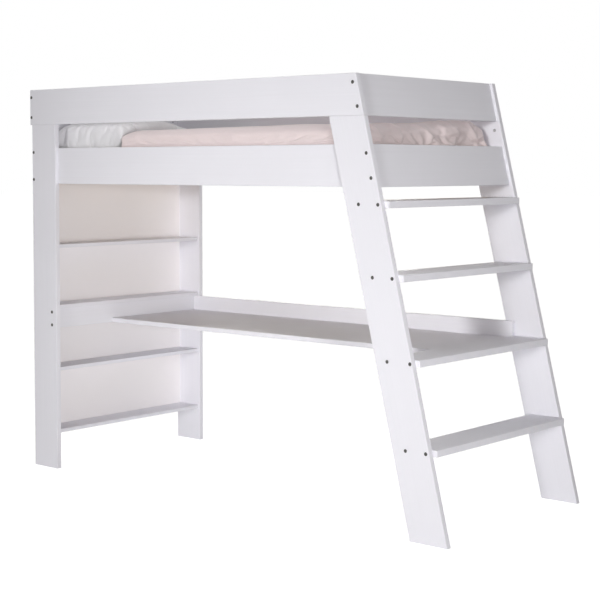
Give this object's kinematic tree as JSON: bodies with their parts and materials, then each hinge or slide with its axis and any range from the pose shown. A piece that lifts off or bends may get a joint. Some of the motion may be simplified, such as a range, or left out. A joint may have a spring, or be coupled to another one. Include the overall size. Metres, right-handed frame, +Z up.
{
  "type": "loft bed",
  "caption": "Loft bed of white lacquered boards: guarded sleeping deck over a desk, a bookcase at the head end and slanted steps at the foot end.",
  "frame": {"origin": "on the floor, in the middle of the bed's outer box", "axes": "+X from the head end to the foot end with the steps, +Y from the front to the back, +Z up"},
  "size_m": [2.4493, 1.0036, 1.82],
  "materials": {
    "white_lacquer": "white satin lacquer on board",
    "white_panel": "white melamine-faced panel",
    "slat_wood": "bare planed pine",
    "dowel_wood": "fluted beech",
    "mattress_ticking": "quilted ticking over foam",
    "pillow_cotton": "white cotton",
    "duvet_cover": "blush-pink woven cotton",
    "dark_bolt": "dark burnished steel",
    "zinc_steel": "bright zinc plate"
  },
  "bodies": {
    "root": {"front_guard_rail": "white_lacquer", "back_guard_rail": "white_lacquer", "upper_head_board": "white_lacquer", "lower_head_board": "white_lacquer", "upper_end_board": "white_lacquer", "lower_end_board": "white_lacquer", "front_post": "white_lacquer", "back_post": "white_lacquer", "front_stile": "white_lacquer", "back_stile": "white_lacquer", "front_bed_rail": "white_lacquer", "back_bed_rail": "white_lacquer", "shelf_1": "white_lacquer", "shelf_2": "white_lacquer", "shelf_3": "white_lacquer", "shelf_4": "white_lacquer", "desk_side_rail": "white_lacquer", "desk_back_rail": "white_lacquer", "desk_top": "white_lacquer", "desk_end_cleat": "white_lacquer", "step_1": "white_lacquer", "step_2": "white_lacquer", "step_3": "white_lacquer", "step_4": "white_lacquer", "bookcase_back": "white_panel", "front_slat_cleat": "slat_wood", "back_slat_cleat": "slat_wood", "slat_01": "slat_wood", "slat_02": "slat_wood", "slat_03": "slat_wood", "slat_04": "slat_wood", "slat_05": "slat_wood", "slat_06": "slat_wood", "slat_07": "slat_wood", "slat_08": "slat_wood", "slat_09": "slat_wood", "slat_10": "slat_wood", "slat_11": "slat_wood", "slat_12": "slat_wood", "slat_13": "slat_wood", "slat_14": "slat_wood", "mattress": "mattress_ticking", "pillow": "pillow_cotton", "duvet": "duvet_cover", "connector_bolts": "dark_bolt", "barrel_nuts": "zinc_steel", "cam_studs": "zinc_steel", "cam_nuts": "zinc_steel", "wood_screws": "zinc_steel", "dowels": "dowel_wood"}
  },
  "joints": []
}
